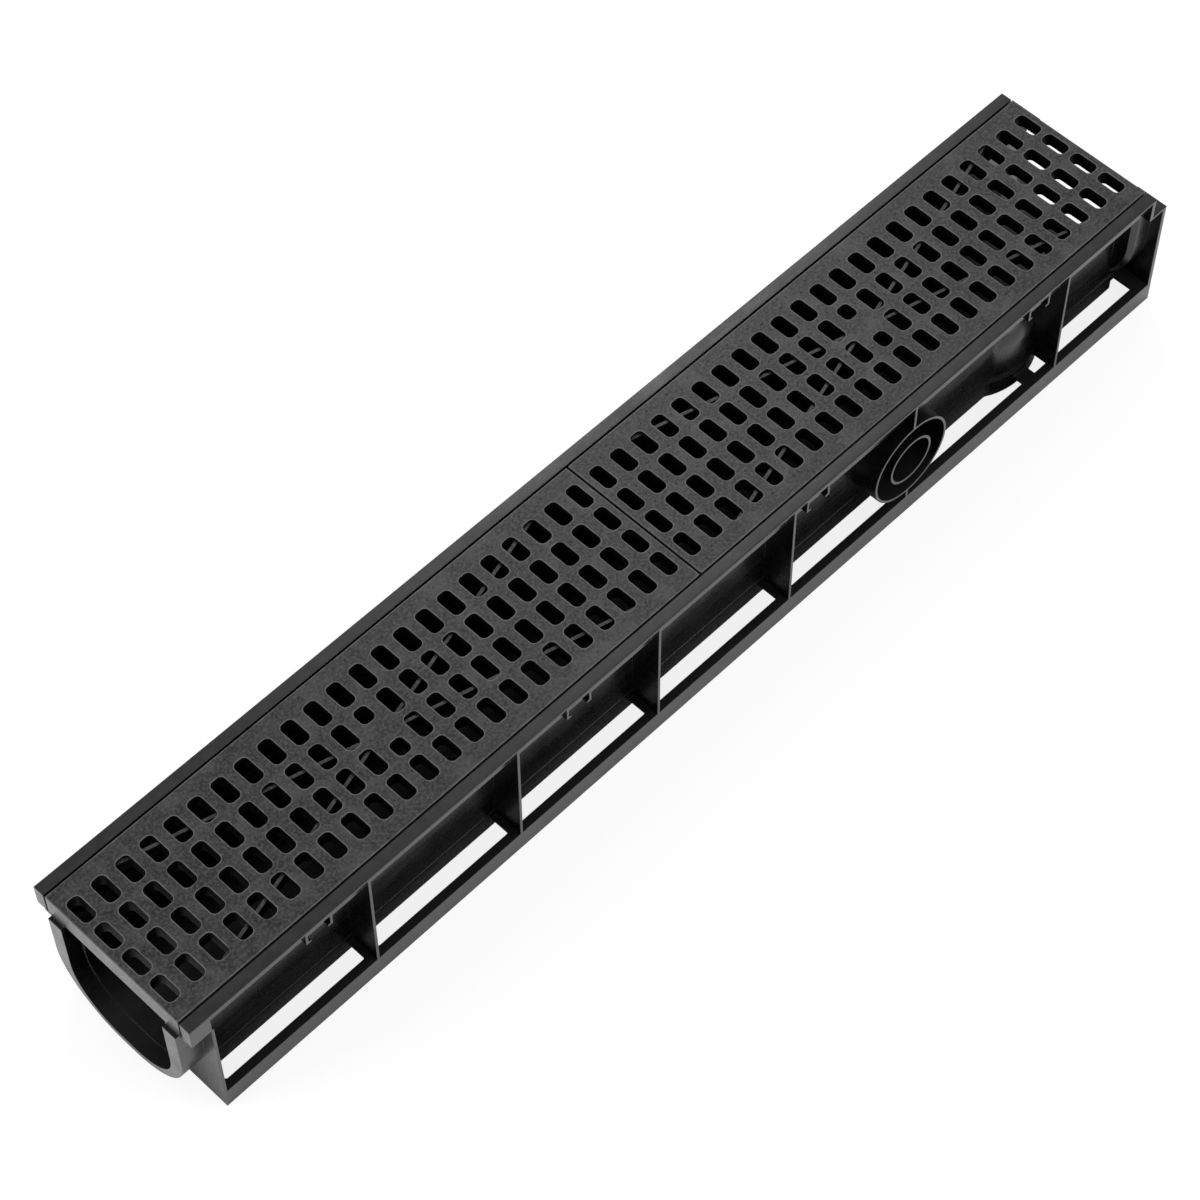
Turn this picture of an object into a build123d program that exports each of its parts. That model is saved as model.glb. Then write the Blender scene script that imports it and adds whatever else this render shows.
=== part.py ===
from build123d import *
import math
import os

os.makedirs("parts", exist_ok=True)

# Driving dimensions, all in millimetres
# X runs along the channel from the tongue end, Z is up from the feet.

# Overall envelope
LAYING_LENGTH = 1000.0
OVERALL_WIDTH = 158.0
OVERALL_HEIGHT = 135.0

# Trough that carries the water
TROUGH_HALF_WIDTH = 50.0
TROUGH_FLOOR_Z = 19.0
TROUGH_CORNER_RADIUS = 42.0
FLOOR_THICKNESS = 3.0
WALL_THICKNESS = 3.0

# Grate seat and rims
SEAT_DEPTH = 20.0
SEAT_THICKNESS = 3.0
RIM_WIDTH = 10.0
RIM_WALL_THICKNESS = 2.5
RIM_FLANGE_THICKNESS = 2.5
RIM_EDGE_CHAMFER = 0.6
NEAR_RIM_BLOCK_LENGTH = 18.0
NEAR_RIM_BLOCK_HEIGHT = 21.0
FAR_RIM_BLOCK_LENGTH = 4.0

# Base: skirts under the walls, slotted base flanges and foot rails
SKIRT_BOTTOM_Z = 8.5
SKIRT_TOP_Z = 25.5
SKIRT_THICKNESS = 2.5
SKIRT_STEP = 1.0
BASE_FLANGE_TOP_Z = 20.0
BASE_FLANGE_THICKNESS = 2.5
BASE_EDGE_WIDTH = 7.5
BASE_OPENING_SETBACK = 5.2
BASE_OPENING_CORNER_CUT = 1.2
LAST_OPENING_OVERRUN = 4.0
RAIL_THICKNESS = 2.5

# Vertical fins between the trough wall and the rail
FIN_THICKNESS = 2.5
FIN_STATIONS = (162.5, 304.5, 446.5, 588.5, 721.0, 897.0)

# Tongue at the near end
TONGUE_PROJECTION = 3.0
TONGUE_HALF_WIDTH = 65.0
TONGUE_BOTTOM_Z = 11.5
TONGUE_CORNER_RADIUS = 60.0
TONGUE_REBATE_LENGTH = 13.0
TONGUE_REBATE_STEP = 1.5
NEAR_PLATE_X = 17.0
NEAR_PLATE_THICKNESS = 2.5

# Socket at the far end, which takes the tongue of the next channel
SOCKET_CLEARANCE = 0.5
SOCKET_WALL = 4.0
SOCKET_EDGE_CHAMFER = 4.0
SOCKET_STOP_WALL = 4.0
FAR_PLATE_THICKNESS = 4.0
SHELF_DROP = 21.3
SHELF_THICKNESS = 2.5

# Clips under the rim
CLIP_FIRST_X = 115.8
CLIP_PITCH = 248.7
CLIP_COUNT = 4
CLIP_WIDTH = 24.5
CLIP_HEIGHT = 16.0
CLIP_LEG = 2.2
CLIP_FOOT = 4.5
CLIP_TOP_HEIGHT = 4.5

# Preformed side outlet: two concentric rings on the wall
SIDE_OUTLET_X = 721.0
SIDE_OUTLET_Z = 67.5
SIDE_OUTER_BORE = 75.4
SIDE_OUTER_WALL = 2.3
SIDE_INNER_BORE = 40.6
SIDE_INNER_WALL = 2.4

# Preformed drop outlet: round sump with a collar below the floor
DROP_OUTLET_X = 874.0
DROP_COLLAR_DIAMETER = 125.0
DROP_COLLAR_WALL = 3.0
SUMP_RADIUS = 60.0
SUMP_WALL = 3.0
SUMP_TOP_Z = 80.0
SUMP_SHOULDER_RADIUS = 22.0
SUMP_BRIDGE_WIDTH = 14.5

# Grates: two equal slotted mouldings
GRATE_COUNT = 2
GRATE_END_CLEARANCE = 0.2
GRATE_JOINT_GAP = 2.0
GRATE_SIDE_CLEARANCE = 1.7
GRATE_SEAT_CLEARANCE = 0.3
GRATE_BAR_DEPTH = 11.4
GRATE_LONG_RIB_DEPTH = 13.0
GRATE_SKIRT_THICKNESS = 3.0
GRATE_END_WALL = 4.0
GRATE_EDGE_CHAMFER = 0.5
SLOT_LINES = 23
SLOT_PITCH = 21.63
SLOT_WIDTH = 12.1
SLOT_END_LINE_WIDTH = 11.4
SLOT_ROWS = 4
SLOT_ROW_PITCH = 28.2
SLOT_LENGTH = 22.4
SLOT_CORNER_CUT = 2.5
CENTRE_BLANK_HALF_WIDTH = 11.3
DIAGONAL_WIDTH = 2.6
DIAGONAL_TOP_DROP = 2.6
DIAGONAL_DEPTH = 10.7

# How near an edge lies to the plane that picks it out
EDGE_TOLERANCE = 0.01

# Values that follow from the driving dimensions
half_width = OVERALL_WIDTH / 2
rim_inner_y = half_width - RIM_WIDTH
rim_wall_outer_y = rim_inner_y + RIM_WALL_THICKNESS
seat_z = OVERALL_HEIGHT - SEAT_DEPTH
seat_bottom_z = seat_z - SEAT_THICKNESS
wall_outer_y = TROUGH_HALF_WIDTH + WALL_THICKNESS
base_flange_bottom_z = BASE_FLANGE_TOP_Z - BASE_FLANGE_THICKNESS
skirt_outer_y = wall_outer_y + SKIRT_STEP
opening_outer_y = half_width - BASE_EDGE_WIDTH
near_end_x = -TONGUE_PROJECTION
near_plate_inner_x = NEAR_PLATE_X + NEAR_PLATE_THICKNESS
next_tongue_x = LAYING_LENGTH - TONGUE_PROJECTION
socket_stop_x = next_tongue_x - SOCKET_CLEARANCE
far_end_x = LAYING_LENGTH + NEAR_PLATE_X - SOCKET_CLEARANCE
far_plate_x = far_end_x - FAR_PLATE_THICKNESS
shelf_z = OVERALL_HEIGHT - SHELF_DROP
socket_half_width = TONGUE_HALF_WIDTH + SOCKET_CLEARANCE
socket_bottom_z = TONGUE_BOTTOM_Z - SOCKET_CLEARANCE
socket_radius = TONGUE_CORNER_RADIUS + SOCKET_CLEARANCE
grate_width = 2 * (rim_inner_y - GRATE_SIDE_CLEARANCE)
grate_length = (LAYING_LENGTH - GRATE_JOINT_GAP) / GRATE_COUNT - GRATE_END_CLEARANCE
grate_height = SEAT_DEPTH - GRATE_SEAT_CLEARANCE


# Helpers
def block(x0, x1, y0, y1, z0, z1):
    """Box between two corners."""
    centre = Pos((x0 + x1) / 2, (y0 + y1) / 2, (z0 + z1) / 2)
    return centre * Box(x1 - x0, y1 - y0, z1 - z0)


def u_bar(x0, x1, half, bottom_z, radius, top_z):
    """Bar along X whose section is a U filled solid, with rounded lower corners."""
    height = top_z - bottom_z
    section = Pos(0, bottom_z + height / 2) * Rectangle(2 * half, height)
    section = fillet(section.vertices().sort_by(Axis.Y)[:2], radius)
    return Pos(x0, 0, 0) * extrude(Plane.YZ * section, x1 - x0)


def both_sides(solid):
    """A solid on the +Y side together with its mirror image."""
    return solid + mirror(solid, about=Plane.XZ)


def upright_cylinder(x, radius, z0, z1):
    """Cylinder on a vertical axis in the centre plane."""
    return Pos(x, 0, (z0 + z1) / 2) * Cylinder(radius, z1 - z0)


# Channel body: one moulding
def trough_shell():
    """Round-bottomed shell, the two upright walls outside it and the skirts under them."""
    shell = u_bar(
        near_plate_inner_x,
        socket_stop_x,
        TROUGH_HALF_WIDTH + FLOOR_THICKNESS,
        TROUGH_FLOOR_Z - FLOOR_THICKNESS,
        TROUGH_CORNER_RADIUS + FLOOR_THICKNESS,
        seat_bottom_z,
    )
    wall = block(
        near_plate_inner_x,
        socket_stop_x,
        TROUGH_HALF_WIDTH,
        wall_outer_y,
        base_flange_bottom_z,
        seat_bottom_z,
    )
    skirt = block(
        near_plate_inner_x,
        socket_stop_x,
        skirt_outer_y - SKIRT_THICKNESS,
        skirt_outer_y,
        SKIRT_BOTTOM_Z,
        SKIRT_TOP_Z,
    )
    return shell + both_sides(wall + skirt)


def grate_seat():
    """Ledge, upright rim wall and thin rim flange on both sides."""
    ledge = block(0, LAYING_LENGTH, TROUGH_HALF_WIDTH, rim_wall_outer_y, seat_bottom_z, seat_z)
    wall = block(0, LAYING_LENGTH, rim_inner_y, rim_wall_outer_y, seat_z, OVERALL_HEIGHT)
    flange_z = OVERALL_HEIGHT - RIM_FLANGE_THICKNESS
    flange = block(0, LAYING_LENGTH, rim_inner_y, half_width, flange_z, OVERALL_HEIGHT)
    return both_sides(ledge + wall + flange)


def rim_blocks():
    """Full-depth ends of the rims."""
    near_z = OVERALL_HEIGHT - NEAR_RIM_BLOCK_HEIGHT
    near = block(0, NEAR_RIM_BLOCK_LENGTH, rim_inner_y, half_width, near_z, OVERALL_HEIGHT)
    far_x = LAYING_LENGTH - FAR_RIM_BLOCK_LENGTH
    far = block(far_x, LAYING_LENGTH, rim_inner_y, half_width, shelf_z, OVERALL_HEIGHT)
    return both_sides(near + far)


def foot_rails():
    """Base flanges and the rails that the channel stands on."""
    flange = block(
        NEAR_PLATE_X,
        far_end_x,
        TROUGH_HALF_WIDTH,
        half_width,
        base_flange_bottom_z,
        BASE_FLANGE_TOP_Z,
    )
    rail = block(NEAR_PLATE_X, far_end_x, half_width - RAIL_THICKNESS, half_width, 0, BASE_FLANGE_TOP_Z)
    return both_sides(flange + rail)


def base_openings():
    """Openings between skirt and rail, one in each bay; the sump's runs up to the next fin."""
    half_fin = FIN_THICKNESS / 2
    setback = BASE_OPENING_SETBACK
    starts = [near_plate_inner_x + setback] + [x + half_fin + setback for x in FIN_STATIONS]
    ends = [x - half_fin - setback for x in FIN_STATIONS[:-1]]
    ends += [FIN_STATIONS[-1] - half_fin, socket_stop_x + LAST_OPENING_OVERRUN]
    width = opening_outer_y - skirt_outer_y
    cutters = []
    for start, end in zip(starts, ends):
        opening = Rectangle(end - start, width)
        opening = chamfer(opening.vertices().sort_by(Axis.Y)[-2:], BASE_OPENING_CORNER_CUT)
        place = Pos((start + end) / 2, skirt_outer_y + width / 2, base_flange_bottom_z)
        cutters.append(both_sides(place * extrude(opening, BASE_FLANGE_THICKNESS)))
    return cutters


def fins():
    """Thin upright fins that tie wall, rim and base flange together."""
    top_z = OVERALL_HEIGHT - RIM_FLANGE_THICKNESS
    plates = []
    for x in FIN_STATIONS:
        x0 = x - FIN_THICKNESS / 2
        x1 = x + FIN_THICKNESS / 2
        plates.append(both_sides(block(x0, x1, wall_outer_y, half_width, base_flange_bottom_z, top_z)))
    return plates


def tongue():
    """Thick U at the near end with its full-width end plate."""
    lip = u_bar(
        near_end_x,
        near_plate_inner_x,
        TONGUE_HALF_WIDTH,
        TONGUE_BOTTOM_Z,
        TONGUE_CORNER_RADIUS,
        seat_bottom_z,
    )
    plate = block(NEAR_PLATE_X, near_plate_inner_x, -half_width, half_width, 0, seat_z)
    return lip + plate


def socket():
    """Shell, stop wall, end plate and shelf at the far end."""
    step_x = socket_stop_x - SOCKET_STOP_WALL
    shell = u_bar(
        step_x,
        far_end_x,
        socket_half_width + SOCKET_WALL,
        socket_bottom_z - SOCKET_WALL,
        socket_radius + SOCKET_WALL,
        seat_bottom_z,
    )
    outline = shell.faces().sort_by(Axis.X)[0].edges()
    rim_edge = outline.filter_by(lambda e: e.center().Z < seat_bottom_z - EDGE_TOLERANCE)
    shell = chamfer(rim_edge, SOCKET_EDGE_CHAMFER)
    plate = block(far_plate_x, far_end_x, -half_width, half_width, 0, shelf_z)
    shelf_x = LAYING_LENGTH - FAR_RIM_BLOCK_LENGTH
    shelf = block(
        shelf_x,
        far_end_x,
        rim_inner_y,
        half_width,
        shelf_z - SHELF_THICKNESS,
        shelf_z,
    )
    return shell + plate + both_sides(shelf)


def clips():
    """Hooked brackets that hang under the outer edge of each rim."""
    top_z = OVERALL_HEIGHT - RIM_FLANGE_THICKNESS
    bottom_z = OVERALL_HEIGHT - CLIP_HEIGHT
    parts = []
    for index in range(CLIP_COUNT):
        x = CLIP_FIRST_X + index * CLIP_PITCH
        x0 = x - CLIP_WIDTH / 2
        x1 = x + CLIP_WIDTH / 2
        y0 = rim_wall_outer_y
        outer = block(x0, x1, y0, half_width, bottom_z, top_z)
        slot_top_z = OVERALL_HEIGHT - CLIP_TOP_HEIGHT
        inside = block(x0 + CLIP_LEG, x1 - CLIP_LEG, y0, half_width, bottom_z + CLIP_LEG, slot_top_z)
        mouth = block(x0 + CLIP_FOOT, x1 - CLIP_FOOT, y0, half_width, bottom_z, bottom_z + CLIP_LEG)
        parts.append(both_sides(outer - inside - mouth))
    return parts


def side_outlet():
    """Two concentric rings standing on the wall; the wall behind them stays closed."""
    length = half_width - wall_outer_y
    rings = []
    for bore, wall in ((SIDE_OUTER_BORE, SIDE_OUTER_WALL), (SIDE_INNER_BORE, SIDE_INNER_WALL)):
        ring = Cylinder(bore / 2 + wall, length) - Cylinder(bore / 2, length)
        place = Pos(SIDE_OUTLET_X, wall_outer_y + length / 2, SIDE_OUTLET_Z) * Rot(90, 0, 0)
        rings.append(both_sides(place * ring))
    return rings


def side_outlet_clearing():
    """Room inside the outer ring, where the fin is left out."""
    length = half_width - wall_outer_y
    place = Pos(SIDE_OUTLET_X, wall_outer_y + length / 2, SIDE_OUTLET_Z) * Rot(90, 0, 0)
    return both_sides(place * Cylinder(SIDE_OUTER_BORE / 2, length))


def rounded_drum(radius, bottom_z, top_z, shoulder):
    """Upright drum with a rounded shoulder."""
    drum = upright_cylinder(DROP_OUTLET_X, radius, bottom_z, top_z)
    rim = drum.edges().filter_by(GeomType.CIRCLE).sort_by(Axis.Z)[-1]
    return fillet(rim, shoulder)


def drop_outlet():
    """Round sump that bulges out of both walls, and the collar round its foot."""
    drum = rounded_drum(SUMP_RADIUS, TROUGH_FLOOR_Z - FLOOR_THICKNESS, SUMP_TOP_Z, SUMP_SHOULDER_RADIUS)
    collar_radius = DROP_COLLAR_DIAMETER / 2
    collar = upright_cylinder(DROP_OUTLET_X, collar_radius, SKIRT_BOTTOM_Z, SKIRT_TOP_Z)
    return drum + collar


def drop_outlet_void():
    """Open inside of the sump above the floor and of the collar below it."""
    top_z = SUMP_TOP_Z - SUMP_WALL
    shoulder = SUMP_SHOULDER_RADIUS - SUMP_WALL
    above = rounded_drum(SUMP_RADIUS - SUMP_WALL, TROUGH_FLOOR_Z, top_z, shoulder)
    collar_bore = DROP_COLLAR_DIAMETER / 2 - DROP_COLLAR_WALL
    below = upright_cylinder(DROP_OUTLET_X, collar_bore, 0, TROUGH_FLOOR_Z - FLOOR_THICKNESS)
    return above + below


def sump_bridge():
    """Short web that ties the collar to the base flange."""
    x0 = DROP_OUTLET_X - SUMP_BRIDGE_WIDTH / 2
    x1 = DROP_OUTLET_X + SUMP_BRIDGE_WIDTH / 2
    web = block(x0, x1, skirt_outer_y, opening_outer_y, base_flange_bottom_z, BASE_FLANGE_TOP_Z)
    return both_sides(web)


def water_way():
    """Rebate, trough and socket that the water runs through, and the pocket of the grates."""
    rebate_radius = TROUGH_CORNER_RADIUS + TONGUE_REBATE_STEP
    rebate = u_bar(
        near_end_x,
        near_end_x + TONGUE_REBATE_LENGTH,
        TROUGH_HALF_WIDTH + TONGUE_REBATE_STEP,
        TROUGH_FLOOR_Z - TONGUE_REBATE_STEP,
        rebate_radius,
        OVERALL_HEIGHT,
    )
    trough = u_bar(
        near_end_x,
        far_end_x,
        TROUGH_HALF_WIDTH,
        TROUGH_FLOOR_Z,
        TROUGH_CORNER_RADIUS,
        OVERALL_HEIGHT,
    )
    socket_bore = u_bar(
        socket_stop_x,
        far_end_x,
        socket_half_width,
        socket_bottom_z,
        socket_radius,
        seat_bottom_z,
    )
    pocket = block(near_end_x, far_end_x, -rim_inner_y, rim_inner_y, seat_z, OVERALL_HEIGHT)
    return [rebate, trough, socket_bore, pocket]


def rim_edges(body):
    """Long outer top edges of both rims."""
    edges = body.edges().filter_by(Axis.X)
    edges = edges.filter_by(lambda e: abs(e.center().Z - OVERALL_HEIGHT) < EDGE_TOLERANCE)
    return edges.filter_by(lambda e: abs(e.center().Y) > half_width - EDGE_TOLERANCE)


def make_body():
    """The whole channel moulding."""
    body = trough_shell() + grate_seat() + rim_blocks() + foot_rails()
    body -= base_openings()
    body += [tongue(), socket(), drop_outlet()]
    body += fins()
    body += clips()
    body += sump_bridge()
    body -= side_outlet_clearing()
    body += side_outlet()
    body -= [drop_outlet_void()] + water_way()
    return chamfer(rim_edges(body), RIM_EDGE_CHAMFER)


# Grates: one slotted moulding each
def slot_outlines():
    """Slots with cut corners in four rows; the centre line has two short ones round a blank."""
    outlines = []
    middle = (SLOT_LINES - 1) / 2
    for line in range(SLOT_LINES):
        x = (line - middle) * SLOT_PITCH
        width = SLOT_WIDTH
        if line in (0, SLOT_LINES - 1):
            width = SLOT_END_LINE_WIDTH
            x += math.copysign((SLOT_WIDTH - SLOT_END_LINE_WIDTH) / 2, x)
        for row in range(SLOT_ROWS):
            y = (row - (SLOT_ROWS - 1) / 2) * SLOT_ROW_PITCH
            length = SLOT_LENGTH
            if line == middle and abs(y) < SLOT_ROW_PITCH:
                outer_y = abs(y) + SLOT_LENGTH / 2
                length = outer_y - CENTRE_BLANK_HALF_WIDTH
                y = math.copysign((outer_y + CENTRE_BLANK_HALF_WIDTH) / 2, y)
            slot = Rectangle(width, length)
            outlines.append(Pos(x, y) * chamfer(slot.vertices(), SLOT_CORNER_CUT))
    return outlines


def diagonal_ribs():
    """Two thin ribs from corner to corner, let in just under the top of the slots."""
    reach = math.hypot(grate_length, grate_width) - 2 * GRATE_SKIRT_THICKNESS
    angle = math.degrees(math.atan2(grate_width, grate_length))
    z = -DIAGONAL_TOP_DROP - DIAGONAL_DEPTH / 2
    rib = Pos(0, 0, z) * Box(reach, DIAGONAL_WIDTH, DIAGONAL_DEPTH)
    limit = Pos(0, 0, z) * Box(grate_length, grate_width, DIAGONAL_DEPTH)
    return (Rot(0, 0, angle) * rib + Rot(0, 0, -angle) * rib) & limit


def long_ribs():
    """Deeper ribs between the rows, along the grate."""
    width = SLOT_ROW_PITCH - SLOT_LENGTH
    length = grate_length - 2 * GRATE_END_WALL
    ribs = []
    for row in range(SLOT_ROWS - 1):
        y = (row - (SLOT_ROWS - 2) / 2) * SLOT_ROW_PITCH
        ribs.append(Pos(0, y, -GRATE_LONG_RIB_DEPTH / 2) * Box(length, width, GRATE_LONG_RIB_DEPTH))
    return ribs


def grate_skirts():
    """Side skirts that stand on the seat, and the deep wall at the near end."""
    end_x = grate_length / 2
    edge_y = grate_width / 2
    side = block(-end_x, end_x, edge_y - GRATE_SKIRT_THICKNESS, edge_y, -grate_height, 0)
    end = block(-end_x, -end_x + GRATE_END_WALL, -edge_y, edge_y, -grate_height, 0)
    return [both_sides(side), end]


def make_grate():
    """One grate with its top at Z zero and its middle at the origin."""
    outline = Rectangle(grate_length, grate_width) - slot_outlines()
    grate = extrude(outline, -GRATE_BAR_DEPTH)
    grate += diagonal_ribs()
    grate += long_ribs()
    grate += grate_skirts()
    rim = grate.edges().filter_by(lambda e: abs(e.center().Z) < EDGE_TOLERANCE)
    side_y = grate_width / 2 - EDGE_TOLERANCE
    end_x = grate_length / 2 - EDGE_TOLERANCE
    long_edges = rim.filter_by(Axis.X).filter_by(lambda e: abs(e.center().Y) > side_y)
    cross_edges = rim.filter_by(Axis.Y).filter_by(lambda e: abs(e.center().X) > end_x)
    return chamfer(long_edges + cross_edges, GRATE_EDGE_CHAMFER)


# Export: the origin is under the middle of the whole length
to_centre = Pos(-(near_end_x + far_end_x) / 2, 0, 0)
first_grate_x = GRATE_END_CLEARANCE + grate_length / 2
grate_pitch = grate_length + GRATE_JOINT_GAP

channel_body = to_centre * make_body()
channel_body.label = "channel_body"
export_step(channel_body, "parts/channel_body.step")

grate = make_grate()
for name, index in (("grate_near", 0), ("grate_far", 1)):
    placed = to_centre * Pos(first_grate_x + index * grate_pitch, 0, OVERALL_HEIGHT) * grate
    placed.label = name
    export_step(placed, f"parts/{name}.step")
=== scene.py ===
import math

import bmesh
import bpy
import numpy as np
from mathutils import Euler, Matrix, Vector
from mathutils.geometry import delaunay_2d_cdt


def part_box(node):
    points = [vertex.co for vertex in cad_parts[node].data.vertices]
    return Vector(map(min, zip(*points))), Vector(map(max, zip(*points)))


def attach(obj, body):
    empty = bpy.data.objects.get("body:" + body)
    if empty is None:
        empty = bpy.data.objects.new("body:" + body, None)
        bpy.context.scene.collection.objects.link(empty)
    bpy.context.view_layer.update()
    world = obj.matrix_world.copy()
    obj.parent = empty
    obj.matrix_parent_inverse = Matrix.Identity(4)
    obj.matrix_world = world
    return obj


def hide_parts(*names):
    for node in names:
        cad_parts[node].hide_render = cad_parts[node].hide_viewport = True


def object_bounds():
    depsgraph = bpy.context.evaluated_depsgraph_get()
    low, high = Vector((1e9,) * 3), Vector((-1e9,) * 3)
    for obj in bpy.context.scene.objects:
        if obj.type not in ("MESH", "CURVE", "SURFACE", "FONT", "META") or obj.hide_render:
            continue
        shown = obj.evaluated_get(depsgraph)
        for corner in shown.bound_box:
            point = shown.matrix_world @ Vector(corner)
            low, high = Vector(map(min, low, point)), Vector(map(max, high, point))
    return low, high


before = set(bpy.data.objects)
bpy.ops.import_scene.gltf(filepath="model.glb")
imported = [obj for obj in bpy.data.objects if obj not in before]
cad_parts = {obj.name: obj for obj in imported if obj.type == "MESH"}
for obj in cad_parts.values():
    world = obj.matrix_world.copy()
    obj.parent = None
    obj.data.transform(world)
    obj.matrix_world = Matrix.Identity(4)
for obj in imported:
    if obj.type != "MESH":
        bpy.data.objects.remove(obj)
cad_low, cad_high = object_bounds()

# Sizes in metres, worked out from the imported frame
MM = 0.001
BODY = "channel_body"
GRATES = ("grate_near", "grate_far")
GRATE_LOW, GRATE_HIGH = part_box("grate_near")
GRATE_LENGTH = GRATE_HIGH[0] - GRATE_LOW[0]
GRATE_WIDTH = GRATE_HIGH[1] - GRATE_LOW[1]
GRATE_HEIGHT = GRATE_HIGH[2] - GRATE_LOW[2]

# Slots of a grate, the same values as in the part
SLOT_LINES = 23
SLOT_PITCH = 21.63 * MM
SLOT_WIDTH = 12.1 * MM
SLOT_END_LINE_WIDTH = 11.4 * MM
SLOT_ROWS = 4
SLOT_ROW_PITCH = 28.2 * MM
SLOT_LENGTH = 22.4 * MM
SLOT_CORNER_RADIUS = 4.2 * MM
SLOT_CORNER_STEPS = 5
CENTRE_BLANK_HALF_WIDTH = 11.3 * MM

# Depths below the top of a grate
EDGE_RADIUS = 0.35 * MM
EDGE_STEPS = 3
DIAGONAL_TOP = 2.6 * MM
BAR_DEPTH = 13.0 * MM
LONG_RIB_DEPTH = 13.4 * MM
DIAGONAL_BOTTOM = 13.8 * MM

# Ribs, skirts and end wall under a grate
DIAGONAL_WIDTH = 2.6 * MM
LONG_RIB_WIDTH = 5.4 * MM
SKIRT_THICKNESS = 3.0 * MM
END_WALL = 4.0 * MM

# Band of the top beside each edge over which the paler edge, partly wear and partly a painted highlight,
# fades out, and the names of the values that the mesh carries
WEAR_HIGHLIGHT_BAND = 0.8 * MM
WEAR_HIGHLIGHT_ATTRIBUTE = "wear_highlight_band"
SLOT_ATTRIBUTE = "slot_wall"
OUTER_ATTRIBUTE = "outer_wall"

# Small round dimples of the top
DIMPLE_RADIUS = 0.95 * MM
DIMPLE_FLOOR_RADIUS = 0.5 * MM
DIMPLE_DEPTH = 0.45 * MM
DIMPLE_STEPS = 10
DIMPLE_PITCH = 9.4 * MM
DIMPLE_BAR_ROWS = 13
DIMPLE_EDGE_Y = 61.1 * MM

# Distances within which points of the plan count as one, in millimetres, or as lying on a line
PLAN_TOLERANCE_MM = 1e-5
RIM_TOLERANCE = 0.001 * MM
CORNER_TOLERANCE = 0.02 * SLOT_CORNER_RADIUS


# Outlines of a grate seen from above, with its middle at the origin
def slot_frames():
    """Centre, width and length of each slot."""
    frames = []
    middle = (SLOT_LINES - 1) / 2
    for line in range(SLOT_LINES):
        x = (line - middle) * SLOT_PITCH
        width = SLOT_WIDTH
        if line in (0, SLOT_LINES - 1):
            width = SLOT_END_LINE_WIDTH
            x += math.copysign((SLOT_WIDTH - SLOT_END_LINE_WIDTH) / 2, x)
        for row in range(SLOT_ROWS):
            y = (row - (SLOT_ROWS - 1) / 2) * SLOT_ROW_PITCH
            length = SLOT_LENGTH
            if line == middle and abs(y) < SLOT_ROW_PITCH:
                outer_y = abs(y) + SLOT_LENGTH / 2
                length = outer_y - CENTRE_BLANK_HALF_WIDTH
                y = math.copysign((outer_y + CENTRE_BLANK_HALF_WIDTH) / 2, y)
            frames.append((x, y, width, length))
    return frames


def slot_outline(slot, grow):
    """Points round a slot that is wider by the same distance all round, counter-clockwise."""
    x, y, width, length = slot
    radius = SLOT_CORNER_RADIUS + grow
    points = []
    for corner, (side_x, side_y) in enumerate(((1, 1), (-1, 1), (-1, -1), (1, -1))):
        centre_x = x + side_x * ((width + 2 * grow) / 2 - radius)
        centre_y = y + side_y * ((length + 2 * grow) / 2 - radius)
        for step in range(SLOT_CORNER_STEPS + 1):
            angle = math.radians(90 * (corner + step / SLOT_CORNER_STEPS))
            points.append((centre_x + radius * math.cos(angle), centre_y + radius * math.sin(angle)))
    return points


def circle(x, y, radius, steps):
    """Points round a circle."""
    angles = [2 * math.pi * step / steps for step in range(steps)]
    return [(x + radius * math.cos(angle), y + radius * math.sin(angle)) for angle in angles]


def dimple_places():
    """Centres of the dimples: across each bar, and between the rows in line with the slots."""
    places = []
    middle = (SLOT_LINES - 1) / 2
    for line in range(SLOT_LINES - 1):
        x = (line + 0.5 - middle) * SLOT_PITCH
        for index in range(DIMPLE_BAR_ROWS):
            y = (index - (DIMPLE_BAR_ROWS - 1) / 2) * DIMPLE_PITCH
            places.append((x, y))
    for line in range(SLOT_LINES):
        x = (line - middle) * SLOT_PITCH
        for y in (-DIMPLE_EDGE_Y, -SLOT_ROW_PITCH, 0.0, SLOT_ROW_PITCH, DIMPLE_EDGE_Y):
            places.append((x, y))
    return places


def strip(x0, x1, y0, y1):
    """Corners of an upright rectangle, counter-clockwise."""
    return [(x0, y0), (x1, y0), (x1, y1), (x0, y1)]


def diagonal_outlines():
    """The two thin ribs from corner to corner."""
    reach = math.hypot(GRATE_LENGTH, GRATE_WIDTH) / 2 - 2 * SKIRT_THICKNESS
    angle = math.atan2(GRATE_WIDTH, GRATE_LENGTH)
    outlines = []
    for turn in (angle, -angle):
        along = Vector((math.cos(turn), math.sin(turn)))
        across = Vector((-along.y, along.x)) * DIAGONAL_WIDTH / 2
        start, end = -along * reach, along * reach
        corners = (start - across, end - across, end + across, start + across)
        outlines.append([tuple(corner) for corner in corners])
    return outlines


def long_rib_outlines():
    """The ribs between the rows of slots."""
    x = GRATE_LENGTH / 2 - END_WALL
    half = LONG_RIB_WIDTH / 2
    rows = [(row - (SLOT_ROWS - 2) / 2) * SLOT_ROW_PITCH for row in range(SLOT_ROWS - 1)]
    return [strip(-x, x, y - half, y + half) for y in rows]


def skirt_outlines():
    """The skirts along both sides and the wall at the near end."""
    x = GRATE_LENGTH / 2
    y = GRATE_WIDTH / 2
    inner = y - SKIRT_THICKNESS
    return [strip(-x, x, -y, -inner), strip(-x, x, inner, y), strip(-x, -x + END_WALL, -y, y)]


# Plan of a grate: plane points, triangles between them and what lies where
def add_loop(points, edges, loop):
    """Add one closed loop to a list of points and the edges between them."""
    first, count = len(points), len(loop)
    edges += [(first + index, first + (index + 1) % count) for index in range(count)]
    points += loop


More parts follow.
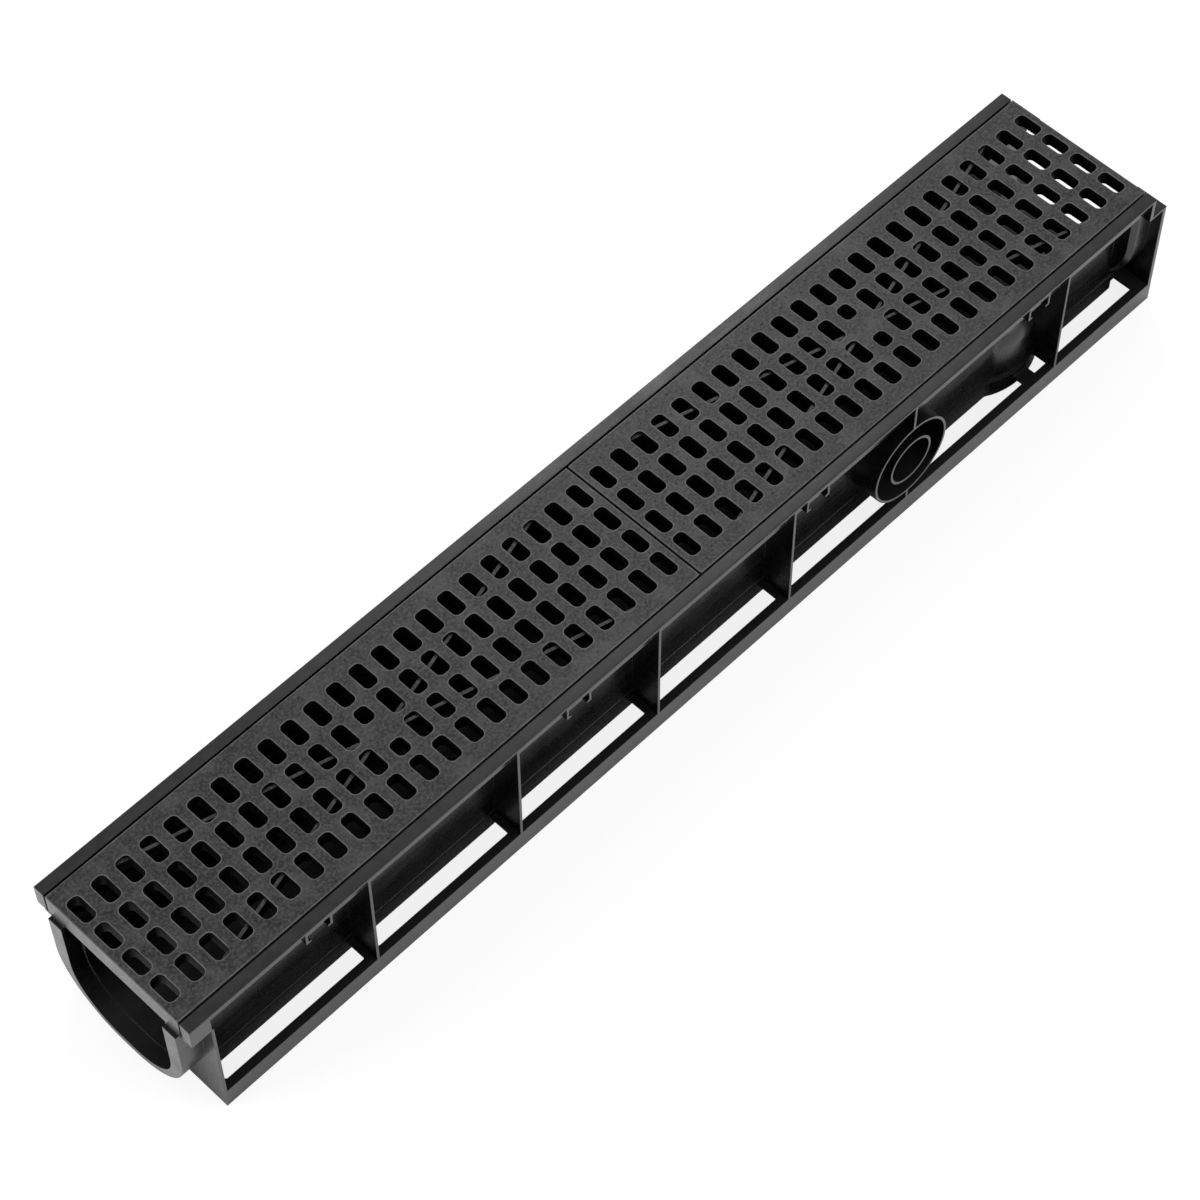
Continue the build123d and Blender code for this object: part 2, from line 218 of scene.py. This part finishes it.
def triangulate(points, edges):
    """Points and triangles of the plane with every edge kept, and the given points that each comes from."""
    scaled = [Vector(point) / MM for point in points]
    result = delaunay_2d_cdt(scaled, edges, [], 0, PLAN_TOLERANCE_MM)
    flat = np.array([tuple(point) for point in result[0]]) * MM
    return flat, np.array(result[2]), result[3]


def within(centres, outline):
    """Which points lie inside a convex counter-clockwise outline."""
    outline = np.array(outline)
    low, high = outline.min(0), outline.max(0)
    near = np.flatnonzero(((centres > low) & (centres < high)).all(1))
    start = outline[:, None]
    along = np.roll(outline, -1, 0)[:, None] - start
    across = centres[near][None] - start
    left = (along[..., 0] * across[..., 1] - along[..., 1] * across[..., 0] > 0).all(0)
    answer = np.zeros(len(centres), bool)
    answer[near[left]] = True
    return answer


def within_any(centres, outlines):
    """Which points lie inside at least one outline."""
    answer = np.zeros(len(centres), bool)
    for outline in outlines:
        answer |= within(centres, outline)
    return answer


def rounding_directions(points, frames):
    """Which points lie on a slot's edge, and the way into the solid top for them and the outer edge."""
    ways = np.zeros_like(points)
    for x, y, width, length in frames:
        half = np.array((width, length)) / 2
        local = points - (x, y)
        core = np.clip(local, SLOT_CORNER_RADIUS - half, half - SLOT_CORNER_RADIUS)
        away = local - core
        distance = np.linalg.norm(away, axis=1)
        on_edge = abs(distance - SLOT_CORNER_RADIUS) < CORNER_TOLERANCE
        ways[on_edge] = away[on_edge] / distance[on_edge, None]
    on_slot = ways.any(1)
    for axis, size in enumerate((GRATE_LENGTH, GRATE_WIDTH)):
        on_rim = abs(abs(points[:, axis]) - size / 2) < RIM_TOLERANCE
        ways[on_rim, axis] = -np.sign(points[on_rim, axis])
    return on_slot, ways


# Mesh of a grate: its plan repeated at every level, with faces where solid meets air
def grate_levels():
    """Depth of each level below the top, and how far the edges are rounded back there."""
    turns = [math.radians(90 * step / EDGE_STEPS) for step in range(EDGE_STEPS + 1)]
    depths = [EDGE_RADIUS * (1 - math.cos(turn)) for turn in turns]
    backs = [EDGE_RADIUS * (1 - math.sin(turn)) for turn in turns]
    depths += [DIAGONAL_TOP, BAR_DEPTH, LONG_RIB_DEPTH, DIAGONAL_BOTTOM, GRATE_HEIGHT]
    backs += [0.0] * (len(depths) - len(backs))
    return np.array(depths), np.array(backs)


def level_faces(triangles, solid, count):
    """Faces that look up or down, apart from the top."""
    air = np.zeros((len(triangles), 1), bool)
    layers = np.hstack([solid, air])
    faces = []
    for level in range(1, layers.shape[1]):
        above, below = layers[:, level - 1], layers[:, level]
        faces += (triangles[below & ~above] + level * count).tolist()
        faces += (triangles[above & ~below][:, ::-1] + level * count).tolist()
    return faces


def upright_faces(triangles, solid, count):
    """Upright faces, and the edges that bound the top."""
    neighbours = {}
    for index, triangle in enumerate(triangles.tolist()):
        for start, end in zip(triangle, triangle[1:] + triangle[:1]):
            neighbours[start, end] = index
    air = np.zeros(solid.shape[1], bool)
    faces = []
    rim = []
    for (start, end), index in neighbours.items():
        other = neighbours.get((end, start))
        beyond = air if other is None else solid[other]
        for layer in np.flatnonzero(solid[index] & ~beyond).tolist():
            top, bottom = layer * count, (layer + 1) * count
            faces.append([start + bottom, end + bottom, end + top, start + top])
            if layer == 0:
                rim.append((start, end))
    return faces, rim


def top_faces(points, rim, frames):
    """New points and the faces of the dimpled top inside its rim, with a band beside each edge."""
    used = sorted({point for edge in rim for point in edge})
    number = {point: index for index, point in enumerate(used)}
    flat = [tuple(points[point, :2]) for point in used]
    edges = [(number[start], number[end]) for start, end in rim]
    band = EDGE_RADIUS + WEAR_HIGHLIGHT_BAND
    inner_x, inner_y = GRATE_LENGTH / 2 - band, GRATE_WIDTH / 2 - band
    add_loop(flat, edges, strip(-inner_x, inner_x, -inner_y, inner_y))
    for slot in frames:
        add_loop(flat, edges, slot_outline(slot, band))
    dimple_floors = set()
    for x, y in dimple_places():
        add_loop(flat, edges, circle(x, y, DIMPLE_RADIUS, DIMPLE_STEPS))
        dimple_floors.update(range(len(flat), len(flat) + DIMPLE_STEPS))
        add_loop(flat, edges, circle(x, y, DIMPLE_FLOOR_RADIUS, DIMPLE_STEPS))

    cover, triangles, origins = triangulate(flat, edges)
    if len(cover) != len(flat):
        raise RuntimeError("the top of the grate met extra points")
    added = np.zeros((len(flat) - len(used), 3))
    places = []
    for place, origin in zip(cover, origins):
        new = origin[0] - len(used)
        if new < 0:
            places.append(used[origin[0]])
            continue
        depth = DIMPLE_DEPTH if origin[0] in dimple_floors else 0.0
        added[new] = (*place, -depth)
        places.append(len(points) + new)
    holes = within_any(cover[triangles].mean(1), [slot_outline(slot, EDGE_RADIUS) for slot in frames])
    return added, np.array(places)[triangles[~holes]].tolist()


def grate_mesh():
    """Closed mesh of one grate: layers of one plan, with rounded edges and a dimpled top."""
    frames = slot_frames()
    outline = strip(-GRATE_LENGTH / 2, GRATE_LENGTH / 2, -GRATE_WIDTH / 2, GRATE_WIDTH / 2)
    slots = [slot_outline(slot, 0.0) for slot in frames]
    diagonals, long_ribs, skirts = diagonal_outlines(), long_rib_outlines(), skirt_outlines()
    flat, edges = [], []
    for loop in (outline, *slots, *diagonals, *long_ribs, *skirts):
        add_loop(flat, edges, loop)
    plan, triangles, _ = triangulate(flat, edges)

    # Which layers are solid in each triangle of the plan
    depths, backs = grate_levels()
    middles = (depths[:-1] + depths[1:]) / 2
    centres = plan[triangles].mean(1)
    solid = ~within_any(centres, slots)[:, None] & (middles < BAR_DEPTH)
    diagonal_layers = (middles > DIAGONAL_TOP) & (middles < DIAGONAL_BOTTOM)
    solid |= within_any(centres, diagonals)[:, None] & diagonal_layers
    solid |= within_any(centres, long_ribs)[:, None] & (middles < LONG_RIB_DEPTH)
    solid |= within_any(centres, skirts)[:, None]

    on_slot, ways = rounding_directions(plan, frames)
    on_edge = ways.any(1)
    rounded = np.arange(len(depths)) < EDGE_STEPS
    every = np.ones(len(depths), bool)
    # The rounded top edges carry the paler edge band, partly wear and partly a painted highlight
    values = {
        WEAR_HIGHLIGHT_ATTRIBUTE: np.outer(rounded, on_edge),
        SLOT_ATTRIBUTE: np.outer(~rounded, on_slot),
        OUTER_ATTRIBUTE: np.outer(every, on_edge & ~on_slot),
    }
    levels = []
    for depth, back in zip(depths, backs):
        levels.append(np.column_stack([plan + back * ways, np.full(len(plan), -depth)]))
    points = np.concatenate(levels)
    uprights, rim = upright_faces(triangles, solid, len(plan))
    added, top = top_faces(points, rim, frames)
    faces = level_faces(triangles, solid, len(plan)) + uprights + top
    points = np.concatenate([points, added])

    keep = sorted({point for face in faces for point in face})
    renumber = {point: index for index, point in enumerate(keep)}
    mesh = bpy.data.meshes.new("grate")
    mesh.from_pydata(points[keep].tolist(), [], [[renumber[point] for point in face] for face in faces])
    for name, value in values.items():
        value = np.concatenate([value.ravel(), np.zeros(len(added))])[keep]
        mesh.attributes.new(name, "FLOAT", "POINT").data.foreach_set("value", value.astype(np.float32))
    return mesh


# Shading of rounded edges
SHARP_ANGLE = math.radians(33)
FULL_AREA_WEIGHT = 100


def smooth_rounded_edges(piece):
    """Smooth shading over small turns, sharp over large ones, with flat faces kept flat."""
    mesh = piece.data
    mesh.polygons.foreach_set("use_smooth", [True] * len(mesh.polygons))
    mesh.set_sharp_from_angle(angle=SHARP_ANGLE)
    normals = piece.modifiers.new("normals", "WEIGHTED_NORMAL")
    normals.keep_sharp = True
    normals.weight = FULL_AREA_WEIGHT


def add_piece(name, mesh, material):
    """New object with its material and shading."""
    mesh.materials.append(material)
    piece = bpy.data.objects.new(name, mesh)
    bpy.context.collection.objects.link(piece)
    smooth_rounded_edges(piece)
    return piece


def place_grate(node, mesh, material):
    """Detailed grate in the place of one CAD grate."""
    low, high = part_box(node)
    own = mesh.copy()
    own.transform(Matrix.Translation(((low[0] + high[0]) / 2, (low[1] + high[1]) / 2, high[2])))
    piece = add_piece(f"{node}_detailed", own, material)
    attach(piece, "root")
    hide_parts(node)


# Channel body: the CAD form with its edges rounded as moulded plastic has them
BODY_EDGE_RADIUS = 0.35 * MM
BODY_EDGE_STEPS = 2
BEVEL_ANGLE = math.radians(40)
WELD_DISTANCE = 0.001 * MM
FLAT_ANGLE = math.radians(0.3)


def rounded_body(material):
    """The channel moulding with small rounded edges."""
    bm = bmesh.new()
    bm.from_mesh(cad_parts[BODY].data)
    bmesh.ops.remove_doubles(bm, verts=bm.verts, dist=WELD_DISTANCE)
    bmesh.ops.dissolve_limit(bm, angle_limit=FLAT_ANGLE, verts=bm.verts, edges=bm.edges)
    bm.normal_update()
    edges = [edge for edge in bm.edges if len(edge.link_faces) == 2 and edge.calc_face_angle() > BEVEL_ANGLE]
    bmesh.ops.bevel(
        bm,
        geom=edges,
        offset=BODY_EDGE_RADIUS,
        offset_type="OFFSET",
        segments=BODY_EDGE_STEPS,
        profile=0.5,
        affect="EDGES",
        clamp_overlap=False,
    )
    bmesh.ops.dissolve_degenerate(bm, dist=WELD_DISTANCE, edges=bm.edges)
    mesh = bpy.data.meshes.new("channel_body_rounded")
    bm.to_mesh(mesh)
    bm.free()
    piece = add_piece("channel_body_rounded", mesh, material)
    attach(piece, "root")
    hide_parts(BODY)


# Node helpers
def grey(value):
    """Neutral colour of one linear value."""
    return (value, value, value, 1.0)


def new_material(name):
    """Empty node material with its tree and a principled shader."""
    material = bpy.data.materials.new(name)
    material.use_nodes = True
    tree = material.node_tree
    shader = tree.nodes["Principled BSDF"]
    return material, tree, shader


def noise(tree, vector, scale, detail=4.0, roughness=0.6):
    """Noise texture, in cycles per metre of the vector that it is given."""
    node = tree.nodes.new("ShaderNodeTexNoise")
    node.inputs["Scale"].default_value = scale
    node.inputs["Detail"].default_value = detail
    node.inputs["Roughness"].default_value = roughness
    tree.links.new(vector, node.inputs["Vector"])
    return node.outputs["Fac"]


def ramp(tree, value, low, high, out_low=0.0, out_high=1.0):
    """Straight ramp from one range of values to another, clamped."""
    node = tree.nodes.new("ShaderNodeMapRange")
    node.inputs["From Min"].default_value = low
    node.inputs["From Max"].default_value = high
    node.inputs["To Min"].default_value = out_low
    node.inputs["To Max"].default_value = out_high
    tree.links.new(value, node.inputs["Value"])
    return node.outputs["Result"]


def maths(tree, kind, *values):
    """Values joined by one kind of sum, one after the other, each a socket or a number."""
    result = values[0]
    for value in values[1:]:
        node = tree.nodes.new("ShaderNodeMath")
        node.operation = kind
        for socket, term in zip(node.inputs, (result, value)):
            if isinstance(term, (int, float)):
                socket.default_value = term
            else:
                tree.links.new(term, socket)
        result = node.outputs["Value"]
    return result


def weighted_sum(tree, weights):
    """Sum of values, each times its weight."""
    return maths(tree, "ADD", *(maths(tree, "MULTIPLY", value, weight) for value, weight in weights))


def mix_greys(tree, factor, first, second):
    """Colour between two colours, each a socket or the number of a grey."""
    node = tree.nodes.new("ShaderNodeMix")
    node.data_type = "RGBA"
    tree.links.new(factor, node.inputs["Factor"])
    for socket, value in zip((node.inputs["A"], node.inputs["B"]), (first, second)):
        if isinstance(value, float):
            socket.default_value = grey(value)
        else:
            tree.links.new(value, socket)
    return node.outputs["Result"]


def stretched(tree, vector, scale):
    """The same vector with its axes scaled one by one."""
    node = tree.nodes.new("ShaderNodeMapping")
    node.inputs["Scale"].default_value = scale
    tree.links.new(vector, node.inputs["Vector"])
    return node.outputs["Vector"]


def upward_part(tree, vector):
    """The Z part of a vector."""
    split = tree.nodes.new("ShaderNodeSeparateXYZ")
    tree.links.new(vector, split.inputs["Vector"])
    return split.outputs["Z"]


def facing_up(tree):
    """1 on level faces that look up, 0 on upright and lower ones."""
    normal = tree.nodes.new("ShaderNodeNewGeometry").outputs["Normal"]
    return ramp(tree, upward_part(tree, normal), 0.4, 0.7)


def opposite(tree, value):
    """1 where a value is 0, and 0 where it is 1."""
    return ramp(tree, value, 0.0, 1.0, 1.0, 0.0)


def mesh_value(tree, name):
    """Value that the mesh itself carries."""
    node = tree.nodes.new("ShaderNodeAttribute")
    node.attribute_name = name
    return node.outputs["Fac"]


def wear_and_highlight_edges(tree, vector, low, high):
    """How much a convex edge is painted paler, partly as wear and partly as a painted highlight, broken up
    by noise.
    """
    edge = tree.nodes.new("ShaderNodeNewGeometry").outputs["Pointiness"]
    patches = ramp(tree, noise(tree, vector, 90.0), 0.35, 0.6, 0.3, 1.0)
    return maths(tree, "MULTIPLY", ramp(tree, edge, low, high), patches)


def add_bump(tree, shader, height, strength, distance):
    """Bump from one height value."""
    bump = tree.nodes.new("ShaderNodeBump")
    bump.inputs["Strength"].default_value = strength
    bump.inputs["Distance"].default_value = distance
    tree.links.new(height, bump.inputs["Height"])
    tree.links.new(bump.outputs["Normal"], shader.inputs["Normal"])


# Channel plastic: linear greys, and the heights between which low level faces are painted paler as light
# falling on the trough floor
CHANNEL_SIDE_GREYS = (0.0016, 0.0035)
CHANNEL_LEVEL_GREYS = (0.001, 0.005)
CHANNEL_STREAK_GREY = 0.008
CHANNEL_LOW_FACE_LIGHT_GREY = 0.014
CHANNEL_WEAR_HIGHLIGHT_GREY = 0.045
CHANNEL_ROUGHNESS = (0.23, 0.31)
CHANNEL_LEVEL_ROUGHNESS = 0.05
CHANNEL_BUMP = 0.25
CHANNEL_BUMP_HEIGHT = 0.15 * MM
LOW_FACE_LIGHT_TOP_Z = 60 * MM
LOW_FACE_LIGHT_FULL_Z = 40 * MM


def channel_plastic():
    """Black moulded plastic with a satin skin, faint flow streaks, paler edges that are partly wear and
    partly a painted highlight, and low level faces painted paler as light on the trough floor.
    """
    material, tree, shader = new_material("channel_plastic")
    vector = tree.nodes.new("ShaderNodeTexCoord").outputs["Object"]
    cloud = noise(tree, vector, 35.0, 5.0)
    streaks = noise(tree, stretched(tree, vector, (0.1, 1.0, 1.0)), 120.0, 3.0)
    speck = noise(tree, vector, 900.0, 2.0, 0.5)
    level = facing_up(tree)

    cloudy = ramp(tree, cloud, 0.35, 0.65)
    sides = mix_greys(tree, cloudy, *CHANNEL_SIDE_GREYS)
    sides = mix_greys(tree, ramp(tree, streaks, 0.5, 0.75, 0.0, 0.6), sides, CHANNEL_STREAK_GREY)
    # Level faces low in the channel painted paler: painted light, standing in for light that falls into the
    # trough.
    low_face_light = ramp(tree, upward_part(tree, vector), LOW_FACE_LIGHT_TOP_Z, LOW_FACE_LIGHT_FULL_Z)
    top = mix_greys(tree, low_face_light, mix_greys(tree, cloudy, *CHANNEL_LEVEL_GREYS), CHANNEL_LOW_FACE_LIGHT_GREY)
    base = mix_greys(tree, level, sides, top)
    # Convex edges painted paler: partly wear, partly a painted highlight along the edges.
    base = mix_greys(tree, wear_and_highlight_edges(tree, vector, 0.53, 0.62), base, CHANNEL_WEAR_HIGHLIGHT_GREY)
    tree.links.new(base, shader.inputs["Base Color"])

    rough = maths(
        tree,
        "ADD",
        ramp(tree, cloud, 0.3, 0.7, *CHANNEL_ROUGHNESS),
        ramp(tree, streaks, 0.3, 0.7, -0.03, 0.04),
        ramp(tree, speck, 0.3, 0.7, -0.03, 0.03),
        maths(tree, "MULTIPLY", level, CHANNEL_LEVEL_ROUGHNESS),
    )
    tree.links.new(rough, shader.inputs["Roughness"])

    weights = ((cloud, 0.5), (speck, 0.35), (streaks, 1.6))
    add_bump(tree, shader, weighted_sum(tree, weights), CHANNEL_BUMP, CHANNEL_BUMP_HEIGHT)
    return material


# Grate plastic: linear greys of the mottled top, its paler edges that are partly wear and partly a painted
# highlight, and its sides with painted shade on the slot walls
GRATE_TOP_GREYS = (0.001, 0.03)
GRATE_PATCH_GREY = 0.058
GRATE_SPECKLE_GREY = 0.09
GRATE_WEAR_HIGHLIGHT_GREY = 0.17
# Slot walls: a near-black grey and a weak specular level, painted shade inside the slots
GRATE_SLOT_SHADE_GREY = 0.0022
GRATE_OUTER_GREY = 0.065
GRATE_ROUGHNESS = (0.38, 0.5)
GRATE_SIDE_SMOOTHNESS = 0.1
SLOT_WALL_ROUGHNESS = 0.3
SLOT_SHADE_SPECULAR = 0.15
PLAIN_SPECULAR = 0.5
GRATE_BUMP = 0.6
GRATE_BUMP_HEIGHT = 0.22 * MM


def grate_plastic():
    """Dull black moulding with a mottled, finely pimpled top, paler edges that are partly wear and partly a
    painted highlight, and painted shade on the slot walls.
    """
    material, tree, shader = new_material("grate_plastic")
    vector = tree.nodes.new("ShaderNodeTexCoord").outputs["Object"]
    mottle = noise(tree, vector, 95.0, 6.0, 0.7)
    patches = noise(tree, vector, 38.0, 3.0, 0.55)
    grain = noise(tree, vector, 620.0, 3.0)
    speckle = noise(tree, vector, 400.0, 2.0)
    level = facing_up(tree)
    upright = opposite(tree, level)
    wall = maths(tree, "MULTIPLY", mesh_value(tree, SLOT_ATTRIBUTE), upright)

    top = mix_greys(tree, ramp(tree, mottle, 0.4, 0.62), *GRATE_TOP_GREYS)
    top = mix_greys(tree, ramp(tree, patches, 0.5, 0.66, 0.0, 0.75), top, GRATE_PATCH_GREY)
    top = mix_greys(tree, ramp(tree, speckle, 0.44, 0.64, 0.0, 0.6), top, GRATE_SPECKLE_GREY)
    uneven = ramp(tree, mottle, 0.35, 0.6, 0.4, 1.0)
    # Paler band along the top edges: partly wear, partly a painted highlight.
    wear_highlight = maths(tree, "MULTIPLY", mesh_value(tree, WEAR_HIGHLIGHT_ATTRIBUTE), uneven)
    top = mix_greys(tree, wear_highlight, top, GRATE_WEAR_HIGHLIGHT_GREY)
    # Slot walls painted near-black as shade inside the slots; the outer walls keep a paler grey.
    sides = mix_greys(tree, mesh_value(tree, OUTER_ATTRIBUTE), GRATE_SLOT_SHADE_GREY, GRATE_OUTER_GREY)
    tree.links.new(mix_greys(tree, level, sides, top), shader.inputs["Base Color"])

    rough = maths(
        tree,
        "ADD",
        ramp(tree, mottle, 0.3, 0.7, *GRATE_ROUGHNESS),
        ramp(tree, grain, 0.3, 0.7, -0.06, 0.06),
        maths(tree, "MULTIPLY", upright, -GRATE_SIDE_SMOOTHNESS),
        maths(tree, "MULTIPLY", wall, SLOT_WALL_ROUGHNESS),
    )
    tree.links.new(rough, shader.inputs["Roughness"])
    # Weaker specular on the slot walls: painted shade inside the slots.
    specular = ramp(tree, wall, 0.0, 1.0, PLAIN_SPECULAR, SLOT_SHADE_SPECULAR)
    tree.links.new(specular, shader.inputs["Specular IOR Level"])

    weights = ((grain, 0.6), (mottle, 0.8))
    add_bump(tree, shader, weighted_sum(tree, weights), GRATE_BUMP, GRATE_BUMP_HEIGHT)
    return material


# Stage: white floor, light and camera
FLOOR_SIZE = 40.0
FLOOR_DROP = 0.2 * MM
FLOOR_BASE = 0.3
FLOOR_SEEN_GLOW = 0.84
FLOOR_SHADE_REACH = 0.12
FLOOR_SHADE_SAMPLES = 6
FLOOR_DARK_SKY = 0.2
FLOOR_OPEN_SKY = 0.8
WORLD_STRENGTH = 0.5


def white_floor():
    """Floor that looks white to the camera and in reflections and keeps a soft shadow."""
    bpy.ops.mesh.primitive_plane_add(size=FLOOR_SIZE, location=(0, 0, cad_low.z - FLOOR_DROP))
    floor = bpy.context.object
    floor.name = "floor"
    material, tree, shader = new_material("floor_white")
    shader.inputs["Base Color"].default_value = grey(FLOOR_BASE)
    shader.inputs["Roughness"].default_value = 1.0
    shader.inputs["Specular IOR Level"].default_value = 0.0
    light_path = tree.nodes.new("ShaderNodeLightPath").outputs
    open_sky = tree.nodes.new("ShaderNodeAmbientOcclusion")
    open_sky.inputs["Distance"].default_value = FLOOR_SHADE_REACH
    open_sky.samples = FLOOR_SHADE_SAMPLES
    mirrored = maths(tree, "MAXIMUM", light_path["Is Glossy Ray"], light_path["Is Transmission Ray"])
    lit = ramp(tree, open_sky.outputs["AO"], FLOOR_DARK_SKY, FLOOR_OPEN_SKY)
    mirrored = maths(tree, "MULTIPLY", mirrored, lit)
    seen = maths(tree, "MULTIPLY", light_path["Is Camera Ray"], FLOOR_SEEN_GLOW)
    glow = tree.nodes.new("ShaderNodeEmission")
    glow.inputs["Color"].default_value = grey(1.0)
    tree.links.new(maths(tree, "MAXIMUM", seen, mirrored), glow.inputs["Strength"])
    both = tree.nodes.new("ShaderNodeAddShader")
    tree.links.new(shader.outputs[0], both.inputs[0])
    tree.links.new(glow.outputs[0], both.inputs[1])
    tree.links.new(both.outputs[0], tree.nodes["Material Output"].inputs["Surface"])
    floor.data.materials.append(material)


def world_light():
    """Even white surroundings."""
    world = bpy.data.worlds.new("surroundings")
    bpy.context.scene.world = world
    world.use_nodes = True
    background = world.node_tree.nodes["Background"]
    background.inputs["Color"].default_value = grey(1.0)
    background.inputs["Strength"].default_value = WORLD_STRENGTH


# Square lamps: place, aimed point, side in metres and power in watts
SOFT_BOXES = {
    "left_box": ((-2.5, 1.0, 0.9), (-0.4, 0, 0.1), 1.0, 19.0),
    "front_box": ((1.0, -2.5, 1.15), (0, 0, 0.1), 1.0, 20.0),
    "back_box": ((1.62, 1.75, 2.6), (0.12, 0, 0.13), 0.8, 14.5),
}


def soft_box(name, place, target, size, power):
    """Large square lamp aimed at a point."""
    data = bpy.data.lights.new(name, "AREA")
    data.shape = "SQUARE"
    data.size = size
    data.energy = power
    lamp = bpy.data.objects.new(name, data)
    lamp.location = place
    lamp.rotation_euler = (Vector(target) - Vector(place)).to_track_quat("-Z", "Y").to_euler()
    bpy.context.collection.objects.link(lamp)


# Camera: place in metres, turn in degrees, lens and sensor in millimetres
CAMERA_PLACE = (-1.02794, -0.97729, 2.14501)
CAMERA_TURN = (33.760, 0.1746, -45.534)
CAMERA_LENS = 101.797
CAMERA_SENSOR = 36.0


def photo_camera():
    """Camera at the angle and distance of the photograph."""
    data = bpy.data.cameras.new("camera")
    data.lens = CAMERA_LENS
    data.sensor_width = CAMERA_SENSOR
    camera = bpy.data.objects.new("camera", data)
    camera.location = CAMERA_PLACE
    camera.rotation_euler = Euler([math.radians(angle) for angle in CAMERA_TURN], "XYZ")
    bpy.context.collection.objects.link(camera)
    bpy.context.scene.camera = camera


channel_look = channel_plastic()
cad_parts[BODY].material_slots[0].material = channel_look
rounded_body(channel_look)
grate_look = grate_plastic()
plan_mesh = grate_mesh()
for node in GRATES:
    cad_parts[node].material_slots[0].material = grate_look
    place_grate(node, plan_mesh, grate_look)

white_floor()
world_light()
for name, settings in SOFT_BOXES.items():
    soft_box(name, *settings)
photo_camera()
bpy.context.scene.view_settings.view_transform = "Standard"
